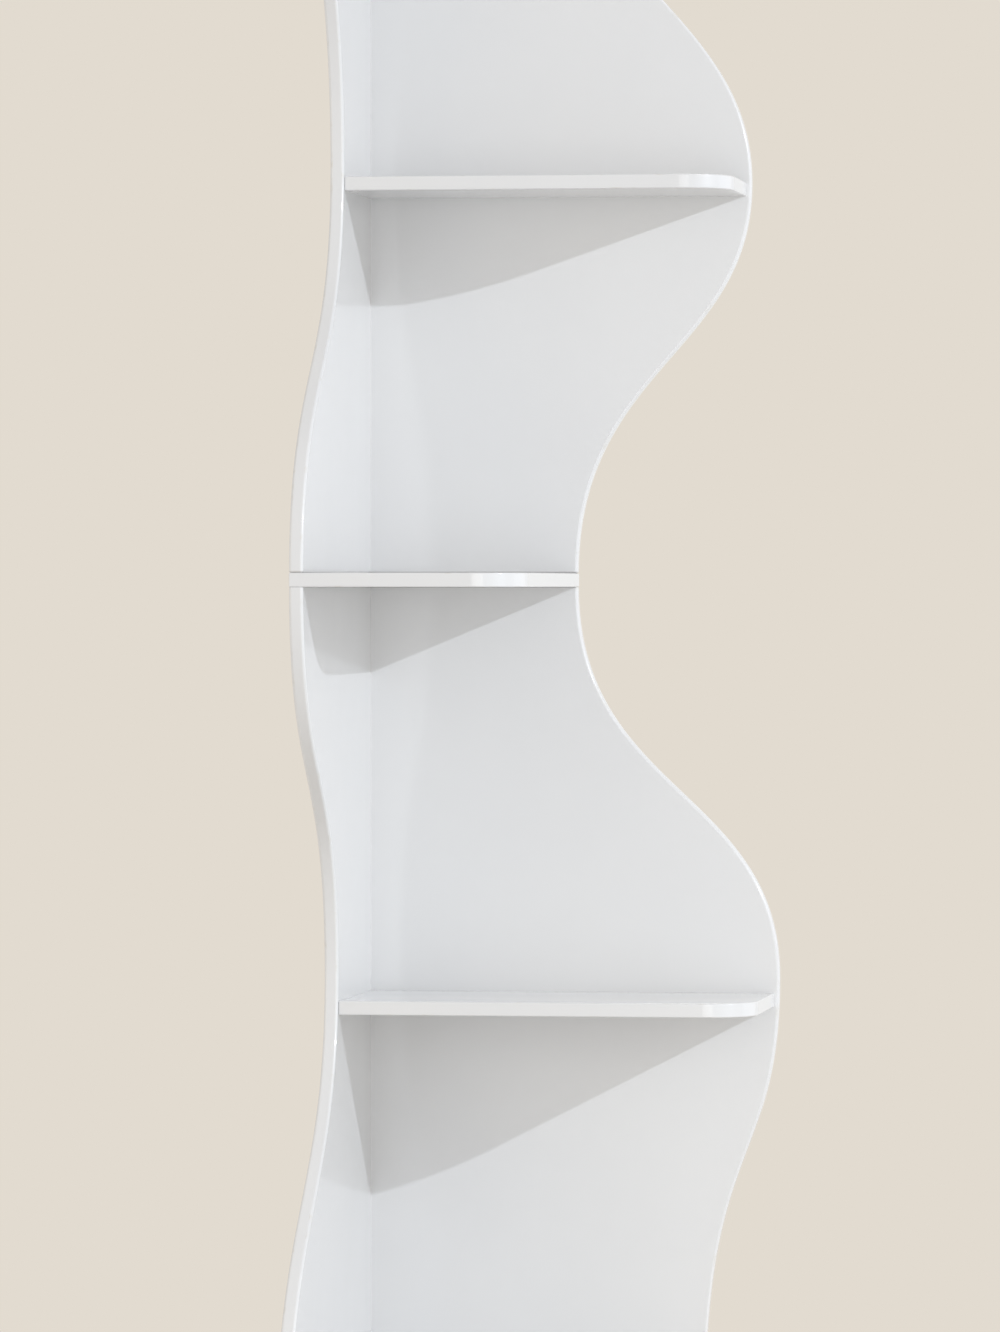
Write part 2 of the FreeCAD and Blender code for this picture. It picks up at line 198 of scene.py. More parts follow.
def shown(name, shape, finish):
    """Make an object of a shape, smooth over its small facets and crisp at its corners."""
    mesh = bpy.data.meshes.new(name)
    shape.to_mesh(mesh)
    shape.free()
    mesh.shade_smooth()
    mesh.set_sharp_from_angle(angle=crisp_angle)
    mesh.materials.append(finish)
    piece = bpy.data.objects.new(name, mesh)
    bpy.context.scene.collection.objects.link(piece)
    return piece


def lacquered_board(node, shape):
    """Lacquered board of a shape, standing for its node."""
    bmesh.ops.recalc_face_normals(shape, faces=shape.faces[:])
    piece = shown(node + "_lacquered", shape, white_lacquer)
    flat = piece.modifiers.new("flat_faces", "WEIGHTED_NORMAL")
    flat.keep_sharp = True
    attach(piece, "root")
    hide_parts(node)


def level_board(node):
    """Level board: a rectangle with its free front right corner rounded and every edge eased."""
    low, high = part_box(node)
    middle = (low + high) / 2
    shape = bmesh.new()
    bmesh.ops.create_cube(shape, size=1.0)
    bmesh.ops.scale(shape, vec=high - low, verts=shape.verts[:])
    bmesh.ops.translate(shape, vec=middle, verts=shape.verts[:])
    free_edge = [
        edge for edge in shape.edges
        if all(vert.co.x > middle.x and vert.co.y < middle.y for vert in edge.verts)
    ]
    rounded(shape, free_edge, free_corner, steps=24)
    rounded(shape, square_edges(shape), level_ease, steps=4, mark="arris")
    lacquered_board(node, shape)


level_board("base_board")

# Floor glides and their nails: four discs of white plastic, moulded with a sunk seat, each held under the
# base board by one round zinc-plated nail whose head lies clear of the floor.
glide_radius = 0.011
glide_height = 0.004
glide_round = 0.0015
glide_bevel = 0.0001
seat_height = 0.0016
seat_bevel = 0.0003
nail_radius = 0.001
nail_head_radius = 0.003
nail_crown = 0.0005
nail_head = 0.001
nail_point = 0.0135
nail_length = 0.0155
fit = 0.0001  # room all round a fixing in its hole
hole_spare = 0.0005  # room at the end of a fixing
same_point = 1e-6  # points nearer than this are one
rightward = Vector((1, 0, 0))
frontward = Vector((0, -1, 0))
upward = Vector((0, 0, 1))


def turned(outline, sides, ring=False):
    """Solid turned about the z axis from its half outline of (radius, height) pairs."""
    shape = bmesh.new()
    points = [shape.verts.new((radius, 0, height)) for radius, height in outline]
    runs = [shape.edges.new(pair) for pair in zip(points, points[1:])]
    if ring:
        runs.append(shape.edges.new((points[-1], points[0])))
    bmesh.ops.spin(
        shape, geom=points + runs, cent=(0, 0, 0), axis=upward,
        angle=2 * math.pi, steps=sides, use_merge=True,
    )
    bmesh.ops.remove_doubles(shape, verts=shape.verts[:], dist=same_point)
    bmesh.ops.recalc_face_normals(shape, faces=shape.faces[:])
    return shape


def quarter_round(radius, height, steps, inset=0.0):
    """Outline of a rounded end: a quarter of an ellipse from its crown, at z = 0, out to its rim."""
    turns = [math.pi / 2 * step / steps for step in range(steps + 1)]
    return [(inset + radius * math.sin(turn), height * (1 - math.cos(turn))) for turn in turns]


def rod(radius, start, end, sides):
    """Plain round rod about the z axis."""
    return turned([(0, start), (radius, start), (radius, end), (0, end)], sides)


def solids_of(node):
    """Low and high corners of the separate solids in a node."""
    shape = bmesh.new()
    shape.from_mesh(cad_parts[node].data)
    bmesh.ops.remove_doubles(shape, verts=shape.verts[:], dist=same_point)
    left = set(shape.verts)
    boxes = []
    while left:
        joined = [left.pop()]
        for vert in joined:
            for edge in vert.link_edges:
                other = edge.other_vert(vert)
                if other in left:
                    left.remove(other)
                    joined.append(other)
        sides = list(zip(*(vert.co for vert in joined)))
        boxes.append((Vector([min(side) for side in sides]), Vector([max(side) for side in sides])))
    shape.free()
    return sorted(boxes, key=lambda box: [round(value, 4) for value in box[0]])


def places_of(node, upright_way=1, flat=False):
    """Where each fixing of a node starts and the way it runs, as a placing of the z axis.

    Fixings run into the unit from the left and rear walls, and up or down by upright_way. A flat
    fixing runs along its shortest side.
    """
    places = []
    for low, high in solids_of(node):
        size = list(high - low)
        side = size.index(min(size) if flat else max(size))
        way = (rightward, frontward, upward * upright_way)[side]
        start = (low + high - way * size[side]) / 2
        places.append(Matrix.Translation(start) @ way.to_track_quat("Z", "Y").to_matrix().to_4x4())
    return places


def gathered(name, shape, places, finish):
    """One object of all the copies of a shape, each at its place."""
    pattern = bpy.data.meshes.new("pattern")
    shape.to_mesh(pattern)
    copies = bmesh.new()
    for place in places:
        ready = len(copies.verts)
        copies.from_mesh(pattern)
        bmesh.ops.transform(copies, matrix=place, verts=list(copies.verts)[ready:])
    bpy.data.meshes.remove(pattern)
    return shown(name, copies, finish)


def fitted(node, shape, places, finish):
    """Fixings of one kind at their places, standing for their node."""
    piece = gathered(node + "_fitted", shape, places, finish)
    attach(piece, "root")
    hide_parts(node)
    return piece


def cut_away(piece, shape, places, finish):
    """Take a tool's shape out of a piece at each place, and leave a finish in the cuts."""
    tool = gathered("tool", shape, places, finish)
    uncut = piece.data
    cut = piece.modifiers.new("cut", "BOOLEAN")
    cut.object = tool
    cut.solver = "EXACT"
    cut.material_mode = "TRANSFER"
    solid = piece.evaluated_get(bpy.context.evaluated_depsgraph_get())
    piece.data = bpy.data.meshes.new_from_object(solid)
    piece.modifiers.remove(cut)
    bpy.data.objects.remove(tool)
    bpy.data.meshes.remove(uncut)
    clean = bmesh.new()
    clean.from_mesh(piece.data)
    bmesh.ops.remove_doubles(clean, verts=clean.verts[:], dist=same_point)
    bmesh.ops.recalc_face_normals(clean, faces=clean.faces[:])
    clean.to_mesh(piece.data)
    clean.free()
    piece.data.shade_smooth()
    piece.data.set_sharp_from_angle(angle=crisp_angle)


def bare_fibreboard():
    """Bare fibreboard in the bored holes: brown, dull and fibrous."""
    finish, shader = new_finish("bare_fibreboard")
    fibres = noise(place_under(shader), scale=900.0, detail=6.0)
    body = tones(fibres, dark=(0.36, 0.25, 0.15, 1), light=(0.55, 0.42, 0.28, 1))
    dullness = spread(fibres, to_low=0.8, to_high=0.95)
    lay_on(shader, body, dullness, relief(fibres, strength=0.4, depth=0.0003))
    return finish


fibreboard = bare_fibreboard()


def bore(boards, shape, places):
    """Bore the holes of a fixing into the boards that it holds."""
    for node in boards:
        piece = bpy.data.objects[node + "_lacquered"]
        piece.modifiers["flat_faces"].show_viewport = False
        cut_away(piece, shape, places, fibreboard)
        piece.modifiers["flat_faces"].show_viewport = True


def moulded_plastic():
    """Moulded plastic: off-white, finely sparked, and scuffed by the floor."""
    finish, shader = new_finish("glide_plastic_moulded")
    place = place_under(shader)
    clouds = noise(place, scale=60.0, detail=3.0)
    body = tones(clouds, dark=(0.70, 0.70, 0.67, 1), light=(0.76, 0.76, 0.74, 1))
    scuffs = spread(noise(place, scale=420.0, detail=7.0), to_low=0.0, to_high=0.7, low=0.56, high=0.72)
    body = overlay(body, scuffs, tone=(0.50, 0.49, 0.46, 1))
    gloss = spread(noise(place, scale=180.0, detail=4.0), to_low=0.38, to_high=0.60)
    sparking = relief(noise(place, scale=2600.0, detail=2.0), strength=0.15, depth=0.0002)
    lay_on(shader, body, gloss, sparking)
    return finish


def zinc_plating():
    """Bright zinc plating on steel: bluish, clouded by the bath, finely drawn."""
    finish, shader = new_finish("zinc_plated_steel_bright")
    shader.inputs["Metallic"].default_value = 1.0
    place = place_under(shader)
    clouds = noise(place, scale=240.0, detail=4.0)
    plate = tones(clouds, dark=(0.56, 0.58, 0.62, 1), light=(0.72, 0.73, 0.74, 1))
    stains = spread(noise(place, scale=90.0, detail=6.0), to_low=0.0, to_high=0.5, low=0.58, high=0.75)
    plate = overlay(plate, stains, tone=(0.52, 0.49, 0.42, 1))
    gloss = spread(noise(place, scale=380.0, detail=5.0), to_low=0.22, to_high=0.40)
    drawing = relief(noise(place, scale=3000.0, detail=3.0), strength=0.12, depth=0.0001)
    lay_on(shader, plate, gloss, drawing)
    return finish


glide_plastic = moulded_plastic()
zinc_plate = zinc_plating()
glide_section = [
    (nail_radius + fit, glide_height), (nail_radius + fit, seat_height),
    (nail_head_radius + fit, seat_height), (nail_head_radius + fit, seat_bevel),
    (nail_head_radius + fit + seat_bevel, 0),
]
glide_section += quarter_round(glide_round, glide_round, steps=3, inset=glide_radius - glide_round)
glide_section += [(glide_radius, glide_height - glide_bevel), (glide_radius - glide_bevel, glide_height)]
glide_disc = turned(glide_section, sides=48, ring=True)
fitted("floor_glides", glide_disc, places_of("floor_glides", flat=True), glide_plastic)
nail_section = quarter_round(nail_head_radius, nail_crown, steps=3) + [
    (nail_head_radius, nail_head), (nail_radius, nail_head), (nail_radius, nail_point), (0, nail_length),
]
nail_places = places_of("glide_nails")
fitted("glide_nails", turned(nail_section, sides=24), nail_places, zinc_plate)
nail_hole = rod(nail_radius + fit, -hole_spare, nail_length + hole_spare, sides=16)
bore(["base_board"], nail_hole, nail_places)

# Lower uprights: two boards with one wavy edge, routed to a template and rounded over along the wave. The
# left one runs through to the rear wall, and the right one butts against it to make the inner corner.
inner_corner = Vector((-0.219, 0.257, 0))
board = 0.015
wave_arris = 0.003
foot_ease = 0.002
head_ease = 0.0012
back_ease = 0.0005
wave_points = 73  # along each stretch from turn to turn

# Turns of the waves: height, reach from the inner corner, length of the upright tangent
left_lower_wave = [(0.019, 0.529, 0.257), (0.5065, 0.221, 0.232), (0.924, 0.445, 0.223)]
right_lower_wave = [(0.019, 0.371, 0.300), (0.4955, 0.453, 0.207), (0.924, 0.230, 0.228)]


def points_in(made):
    """Vertices among the things that an operator made."""
    return [part for part in made["geom"] if isinstance(part, bmesh.types.BMVert)]


def wavy_upright(node, wave, outward, wallward, back):
    """Upright: its wavy edge drawn as smooth curves, drawn out to the straight back edge, then thickened.

    It reaches outward from the inner corner to the wave, and back past the corner, and its thickness
    runs wallward.
    """
    def reach(vert):
        return (vert.co - inner_corner).dot(outward)

    points = []
    for (low, low_reach, low_turn), (high, high_reach, high_turn) in zip(wave, wave[1:]):
        start = inner_corner + outward * low_reach + upward * low
        end = inner_corner + outward * high_reach + upward * high
        leaving = start + upward * low_turn
        arriving = end - upward * high_turn
        curve = interpolate_bezier(start, leaving, arriving, end, wave_points)
        points += curve if not points else curve[1:]
    shape = bmesh.new()
    free = [shape.verts.new(point) for point in points]
    wave_edges = [shape.edges.new(pair) for pair in zip(free, free[1:])]
    for vert in points_in(bmesh.ops.extrude_edge_only(shape, edges=wave_edges)):
        vert.co -= outward * (reach(vert) + back)
    wall_side = points_in(bmesh.ops.extrude_face_region(shape, geom=shape.faces[:]))
    bmesh.ops.translate(shape, vec=wallward * board, verts=wall_side)
    bmesh.ops.recalc_face_normals(shape, faces=shape.faces[:])

    def runs_up(edge):
        return abs(edge.verts[0].co.z - edge.verts[1].co.z) > wave_arris

    def along_wave(edge):
        return runs_up(edge) and all(reach(vert) > board for vert in edge.verts)

    def past_corner(edge):
        return runs_up(edge) and all(reach(vert) < -back_ease for vert in edge.verts)

    def at_foot(edge):
        return all(abs(vert.co.z - wave[0][0]) < back_ease for vert in edge.verts)

    def at_head(edge):
        return all(abs(vert.co.z - wave[-1][0]) < back_ease for vert in edge.verts)

    rounded(shape, square_edges(shape, along_wave), wave_arris, steps=6, mark="arris")
    # The rounded foot is marked as a joint, where the lacquer is greyed with painted shade as well as dust.
    rounded(shape, square_edges(shape, at_foot), foot_ease, steps=4, mark="joint")
    rounded(shape, square_edges(shape, at_head), head_ease, steps=4, mark="arris")
    if back:
        rounded(shape, square_edges(shape, past_corner), back_ease, steps=2, mark="arris")
    lacquered_board(node, shape)


def corner_uprights(section, left_wave, right_wave):
    """The two uprights of a section: the left one runs past the corner, the right one up to it."""
    wavy_upright(section + "_left_panel", left_wave, outward=frontward, wallward=-rightward, back=board)
    wavy_upright(section + "_right_panel", right_wave, outward=rightward, wallward=-frontward, back=0)


corner_uprights("lower", left_lower_wave, right_lower_wave)
lower_corner = ["lower_left_panel", "lower_right_panel"]

# Joint screws: countersunk steel screws with a hexagon socket and a coarse rolled thread, zinc plated. They
# pull the corner together through the left upright, and hold the base board from below, heads flush.
screw_head = 0.005
screw_rim = 0.0006
rim_bevel = 0.00015
countersink = 0.0021
screw_neck = 0.0035
screw_neck_end = 0.0148
screw_core = 0.0025
screw_core_start = 0.0156
screw_crest = 0.0032
screw_taper = 0.045
screw_length = 0.050
screw_sides = 24
socket_rim = 0.0028
socket_corner = 0.00231
socket_depth = 0.0024
breakout = 0.001  # how far a tool starts outside a piece
neck_hole_end = 0.0155  # just past the joint, so that no step lies in its plane
thread_hole_start = 0.0158
hole_point = 0.0013


def add_thread(shape, core, crest, pitch, start, end):
    """Rolled thread: a small ridge, rooted in the core, carried round it in a helix."""
    steps_per_turn = 16
    turns = round((end - start) / pitch)
    root = core * 0.97
    width = pitch * 0.4
    outline = ((root, 0, start), (crest, 0, start + width / 2), (root, 0, start + width))
    ridge = shape.faces.new([shape.verts.new(point) for point in outline])
    bmesh.ops.spin(
        shape, geom=[ridge], cent=(0, 0, 0), axis=upward, dvec=upward * (pitch / steps_per_turn),
        angle=2 * math.pi * turns, steps=turns * steps_per_turn, use_merge=False,
    )
    bmesh.ops.recalc_face_normals(shape, faces=shape.faces[:])


def joint_screw():
    """Countersunk screw with a hexagon socket, its head's face at z = 0."""
    shape = turned([
        (socket_rim, 0), (screw_head - rim_bevel, 0), (screw_head, rim_bevel), (screw_head, screw_rim),
        (screw_neck, countersink), (screw_neck, screw_neck_end), (screw_core, screw_core_start),
        (screw_core, screw_taper), (0, screw_length),
    ], screw_sides)
    rim = [edge for edge in shape.edges if edge.is_boundary]
    corners = bmesh.ops.create_circle(shape, segments=6, radius=socket_corner)["verts"]
    flats = list({edge for corner in corners for edge in corner.link_edges})
    bmesh.ops.subdivide_edges(shape, edges=flats, cuts=screw_sides // 6 - 1)
    mouth = [edge for edge in shape.edges if edge.is_wire]
    bmesh.ops.bridge_loops(shape, edges=rim + mouth)
    floor_points = points_in(bmesh.ops.extrude_edge_only(shape, edges=mouth))
    bmesh.ops.translate(shape, vec=upward * socket_depth, verts=floor_points)
    bmesh.ops.edgeloop_fill(shape, edges=[edge for edge in shape.edges if edge.is_boundary])
    add_thread(shape, screw_core, screw_crest, pitch=0.003, start=0.0165, end=0.0435)
    return shape


def screw_hole():
    """Hole for a joint screw: countersunk, clear for the neck to just past the joint, then for the thread."""
    bottom = screw_length + hole_spare
    return turned([
        (0, -breakout), (screw_head + fit, -breakout), (screw_head + fit, screw_rim),
        (screw_neck + fit, countersink), (screw_neck + fit, neck_hole_end),
        (screw_crest + fit, thread_hole_start), (screw_crest + fit, screw_taper),
        (hole_point, bottom), (0, bottom),
    ], screw_sides)


def join_with_screws(node, boards):
    """Drive the joint screws of a node into the boards that they hold."""
    places = places_of(node)
    fitted(node, joint_screw(), places, zinc_plate)
    bore(boards, screw_hole(), places)


join_with_screws("lower_corner_screws", lower_corner)
join_with_screws("base_board_screws", ["base_board"] + lower_corner)

# Dowels: turned beech pins with pressed flutes and bevelled ends, glued in to line the boards up while the
# screws are driven. Their grain runs along them.
dowel_radius = 0.004
dowel_bevel = 0.0008
dowel_length = 0.035
flute_inset = 0.00015
flute_depth = 0.0002


def beech_grain():
    """Beech: pale reddish brown with fine streaks and short dark flecks along the pin."""
    finish, shader = new_finish("beech_turned")
    tree = finish.node_tree
    grain = tree.nodes.new("ShaderNodeAttribute")
    grain.attribute_name = "grain"
    lengthwise = tree.nodes.new("ShaderNodeMapping")
    lengthwise.inputs["Scale"].default_value = (1.0, 1.0, 0.05)
    tree.links.new(grain.outputs["Vector"], lengthwise.inputs["Vector"])
    place = lengthwise.outputs["Vector"]
    streaks = noise(place, scale=1400.0, detail=5.0)
    wood = tones(streaks, dark=(0.50, 0.32, 0.18, 1), light=(0.66, 0.47, 0.30, 1))
    flecks = spread(noise(place, scale=4200.0, detail=2.0), to_low=0.0, to_high=0.6, low=0.60, high=0.70)
    wood = overlay(wood, flecks, tone=(0.34, 0.19, 0.10, 1))
    dullness = spread(streaks, to_low=0.55, to_high=0.75)
    lay_on(shader, wood, dullness, relief(streaks, strength=0.3, depth=0.0002))
    return finish


beech = beech_grain()


def mirrored(outline, length):
    """Outline of one end of a turned piece, turned round to the other end."""
    return [(radius, length - height) for radius, height in reversed(outline)]


def bevelled_rod(radius, length, bevel, sides):
    """Round rod with bevelled ends, standing on z = 0."""
    end = [(0, 0), (radius - bevel, 0), (radius, bevel)]
    return turned(end + mirrored(end, length), sides)


def dowel(length):
    """Fluted pin of one length, standing on z = 0."""
    shape = bevelled_rod(dowel_radius, length, dowel_bevel, sides=24)
    staves = [face for face in shape.faces if abs(face.normal.z) < 0.1]
    staves.sort(key=lambda face: math.atan2(face.calc_center_median().y, face.calc_center_median().x))
    bmesh.ops.inset_individual(shape, faces=staves[::2], thickness=flute_inset, depth=-flute_depth)
    grain = shape.verts.layers.float_vector.new("grain")
    for vert in shape.verts:
        vert[grain] = vert.co
    return shape


def join_with_dowels(node, boards, length=dowel_length, upright_way=1):
    """Set the dowels of a node into the boards that they line up."""
    places = places_of(node, upright_way)
    fitted(node, dowel(length), places, beech)
    bore(boards, rod(dowel_radius + fit, -hole_spare, length + hole_spare, sides=32), places)


join_with_dowels("lower_corner_dowels", lower_corner)
join_with_dowels("base_board_dowels", ["base_board"] + lower_corner)

# Lower shelf: let in between the uprights where the right wave is widest, and a little behind both wavy
# edges. It is made like the base board, and screwed and doweled through both uprights.
level_board("lower_shelf")
join_with_screws("lower_shelf_screws", lower_corner + ["lower_shelf"])
join_with_dowels("lower_shelf_dowels", lower_corner + ["lower_shelf"])

# Middle board: runs through between the lower and the upper uprights, flush with their wavy edges. It is
# made like the base board.
level_board("middle_board")

# Upper uprights: stand on the middle board and carry the waves on. They are made and joined at the corner
# like the lower ones.
left_upper_wave = [(0.939, 0.445, 0.223), (1.3795, 0.182, 0.229), (1.780, 0.370, 0.110)]
right_upper_wave = [(0.939, 0.230, 0.228), (1.3665, 0.422, 0.186), (1.780, 0.215, 0.184)]
corner_uprights("upper", left_upper_wave, right_upper_wave)
upper_corner = ["upper_left_panel", "upper_right_panel"]
join_with_screws("upper_corner_screws", upper_corner)
join_with_dowels("upper_corner_dowels", upper_corner)

# Fixings of the middle board: long dowels and double-ended steel bolts pass through it into both pairs of
# uprights. The bolt heads are held by round cams of die-cast zinc, let into the wall side and turned tight.
through_dowel_length = 0.060
bolt_radius = 0.0035
bolt_bevel = 0.0003
bolt_head = 0.003
bolt_neck = 0.0022
bolt_shoulder = 0.009
double_bolt_length = 0.066
cam_radius = 0.0074
cam_bevel = 0.0003
cam_height = 0.012
cam_entry = 0.0039
past_cam = 0.008
cross_taper = 0.8
both_corners = lower_corner + upper_corner
join_with_dowels("middle_board_dowels", ["middle_board"] + both_corners, through_dowel_length)
bolt_end = [
    (0, 0), (bolt_radius - bolt_bevel, 0), (bolt_radius, bolt_bevel),
    (bolt_radius, bolt_head - bolt_bevel), (bolt_radius - bolt_bevel, bolt_head),
    (bolt_neck, bolt_head), (bolt_neck, bolt_shoulder),
    (bolt_radius - bolt_bevel, bolt_shoulder), (bolt_radius, bolt_shoulder + bolt_bevel),
]
double_bolt = turned(bolt_end + mirrored(bolt_end, double_bolt_length), sides=24)
double_bolt_places = places_of("middle_board_bolts")
fitted("middle_board_bolts", double_bolt, double_bolt_places, zinc_plate)
double_bolt_hole = rod(bolt_radius + fit, bolt_head / 2, double_bolt_length - bolt_head / 2, sides=24)
bore(["middle_board"] + both_corners, double_bolt_hole, double_bolt_places)


def die_casting():
    """Die-cast zinc: dull grey, with the grain of the mould and darker flow marks."""
    finish, shader = new_finish("die_cast_zinc_dull")
    shader.inputs["Metallic"].default_value = 1.0
    place = place_under(shader)
    clouds = noise(place, scale=160.0, detail=5.0)
    cast = tones(clouds, dark=(0.42, 0.42, 0.43, 1), light=(0.58, 0.58, 0.57, 1))
    flow = spread(noise(place, scale=420.0, detail=6.0), to_low=0.0, to_high=0.6, low=0.56, high=0.72)
    cast = overlay(cast, flow, tone=(0.30, 0.30, 0.31, 1))
    gloss = spread(noise(place, scale=500.0, detail=4.0), to_low=0.42, to_high=0.62)
    mould_grain = relief(noise(place, scale=1800.0, detail=4.0), strength=0.3, depth=0.0002)
    lay_on(shader, cast, gloss, mould_grain)
    return finish


die_cast_zinc = die_casting()


def cross(length, width, depth):
    """Cross-shaped driver, from just outside z = 0 to its depth, a little narrower at its foot."""
    shape = bmesh.new()
    bmesh.ops.create_cube(shape, size=1.0)
    bmesh.ops.scale(shape, vec=(width, width, 2 * depth), verts=shape.verts[:])
    arms = [face for face in shape.faces if abs(face.normal.z) < 0.5]
    for face in bmesh.ops.extrude_discrete_faces(shape, faces=arms)["faces"]:
        bmesh.ops.translate(shape, vec=face.normal * (length - width) / 2, verts=face.verts[:])
    foot = [vert for vert in shape.verts if vert.co.z > 0]
    bmesh.ops.scale(shape, vec=(cross_taper, cross_taper, 1.0), verts=foot)
    return shape


def cam_locks(node, places, boards):
    """Cams let into their boards, outer faces at z = 0 of their places, with the bolt coming in along y."""
    blank = bevelled_rod(cam_radius, cam_height, cam_bevel, sides=48)
    piece = fitted(node, blank, places, die_cast_zinc)
    heart = Matrix.Translation((0, 0, board / 2))
    bolt_way = heart @ Matrix.Rotation(math.radians(-90), 4, "X")
    entry_way = heart @ Matrix.Rotation(math.radians(-90), 4, "Y")
    half_seat = bolt_head / 2 + fit
    cuts = (
        (rod(bolt_radius + fit, -half_seat, half_seat, sides=24), bolt_way),
        (rod(bolt_neck + fit, 0, past_cam, sides=24), bolt_way),
        (rod(cam_entry, 0, past_cam, sides=24), entry_way),
        (cross(length=0.008, width=0.0016, depth=0.0022), Matrix()),
    )
    for shape, way in cuts:
        cut_away(piece, shape, [place @ way for place in places], die_cast_zinc)
    bore(boards, rod(cam_radius + fit, -breakout, cam_height + hole_spare, sides=48), places)


_, middle_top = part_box("middle_board")
half_turn = Matrix.Rotation(math.pi, 4, "Z")
middle_cam_places = []
for place in places_of("middle_board_cams", flat=True):
    middle_cam_places.append(place @ half_turn if place.translation.z > middle_top.z else place)
cam_locks("middle_board_cams", middle_cam_places, both_corners)

# Upper shelf: let in between the upper uprights where the right wave is widest again. It is made, screwed
# and doweled like the lower shelf.
level_board("upper_shelf")
join_with_screws("upper_shelf_screws", upper_corner + ["upper_shelf"])
join_with_dowels("upper_shelf_dowels", upper_corner + ["upper_shelf"])

# Top board: closes the uprights at the head, made like the base board. Bolts screwed into its underside
# are held by cams in the upper uprights, so that no fixing shows on its top.
single_bolt_length = 0.0365
bolt_tip = 0.0016
bolt_tip_bevel = 0.0006
bolt_core = 0.002
bolt_crest = 0.0025
bolt_core_end = 0.011
thread_hole_end = 0.0102  # just short of the joint, so that no step lies in its plane
shank_hole_start = 0.0105
level_board("top_board")
join_with_dowels("top_board_dowels", ["top_board"] + upper_corner, upright_way=-1)
threaded_end = [
    (0, 0), (bolt_tip, 0), (bolt_core, bolt_tip_bevel),
    (bolt_core, bolt_core_end), (bolt_radius, bolt_core_end),
]
single_bolt = turned(threaded_end + mirrored(bolt_end, single_bolt_length), sides=24)
add_thread(single_bolt, bolt_core, bolt_crest, pitch=0.0015, start=0.001, end=0.0100)
single_bolt_places = places_of("top_board_bolts", upright_way=-1)
fitted("top_board_bolts", single_bolt, single_bolt_places, zinc_plate)
shank_hole_end = single_bolt_length - bolt_head / 2
single_bolt_hole = turned([
    (0, -hole_spare), (bolt_crest + fit, -hole_spare), (bolt_crest + fit, thread_hole_end),
    (bolt_radius + fit, shank_hole_start), (bolt_radius + fit, shank_hole_end), (0, shank_hole_end),
], sides=24)
bore(["top_board"] + upper_corner, single_bolt_hole, single_bolt_places)
cam_locks("top_board_cams", places_of("top_board_cams", flat=True), upper_corner)

# Wall brackets: two angles of bent steel plate, powder coated white, with rounded tips and two holes in
# each leg. Pan-head screws hold them on the top board, and wall screws go through the other leg.
bracket_width = 0.060
bracket_foot = 0.040
bracket_rise = 0.030
bracket_plate = 0.002
bracket_pitch = 0.040
bracket_tip = 0.004
inner_bend_radius = 0.001
outer_bend_radius = 0.003
bracket_ease = 0.0003
wall_hole_radius = 0.00275
foot_hole_radius = 0.00225
pan_radius = 0.004
pan_crown = 0.0023
pan_bevel = 0.0002
pan_head = 0.0025
pan_screw_core = 0.0013
pan_screw_crest = 0.0018
pan_screw_taper = 0.0127
pan_screw_length = 0.0145


def powder_coating():
    """White powder coat: fine pebbled relief, thinner and darker along the edges."""
    finish, shader = new_finish("coated_steel_white")
    place = place_under(shader)
    clouds = noise(place, scale=40.0, detail=4.0)
    coat = tones(clouds, dark=(0.70, 0.70, 0.70, 1), light=(0.76, 0.76, 0.75, 1))
    wear = spread(noise(place, scale=240.0, detail=5.0), to_low=0.0, to_high=1.0, low=0.58, high=0.75)
    coat = overlay(coat, kept_to("arris", wear), tone=(0.34, 0.34, 0.35, 1))
    gloss = spread(noise(place, scale=120.0, detail=4.0), to_low=0.42, to_high=0.58)
    pebbles = relief(noise(place, scale=1100.0, detail=2.0), strength=0.25, depth=0.0003)
    lay_on(shader, coat, gloss, pebbles)
    return finish


powder_coat = powder_coating()


def wall_bracket():
    """Angle with its wall side on y = 0 and its foot on z = 0."""
    section = [
        (0, 0), (-bracket_foot, 0), (-bracket_foot, bracket_plate), (-bracket_plate, bracket_plate),
        (-bracket_plate, bracket_rise), (0, bracket_rise),
    ]
    shape = bmesh.new()
    side = shape.faces.new([shape.verts.new((-bracket_width / 2, y, z)) for y, z in section])
    far_side = points_in(bmesh.ops.extrude_face_region(shape, geom=[side]))
    bmesh.ops.translate(shape, vec=rightward * bracket_width, verts=far_side)
    bmesh.ops.recalc_face_normals(shape, faces=shape.faces[:])

    def near(edge, y, z):
        middle = (edge.verts[0].co + edge.verts[1].co) / 2
        return math.hypot(middle.y - y, middle.z - z) < bracket_plate / 4

    def at_tip(edge):
        return near(edge, -bracket_foot, bracket_plate / 2) or near(edge, -bracket_plate / 2, bracket_rise)

    long_edges = [edge for edge in shape.edges if edge.calc_length() > bracket_foot]
    tips = [edge for edge in shape.edges if edge not in long_edges and at_tip(edge)]
    inner_bend = [edge for edge in long_edges if near(edge, -bracket_plate, bracket_plate)]
    outer_bend = [edge for edge in long_edges if near(edge, 0, 0)]
    rounded(shape, tips, bracket_tip, steps=8)
    rounded(shape, inner_bend, inner_bend_radius, steps=6)
    rounded(shape, outer_bend, outer_bend_radius, steps=8)
    rounded(shape, square_edges(shape), bracket_ease, steps=2, mark="arris")
    return shape


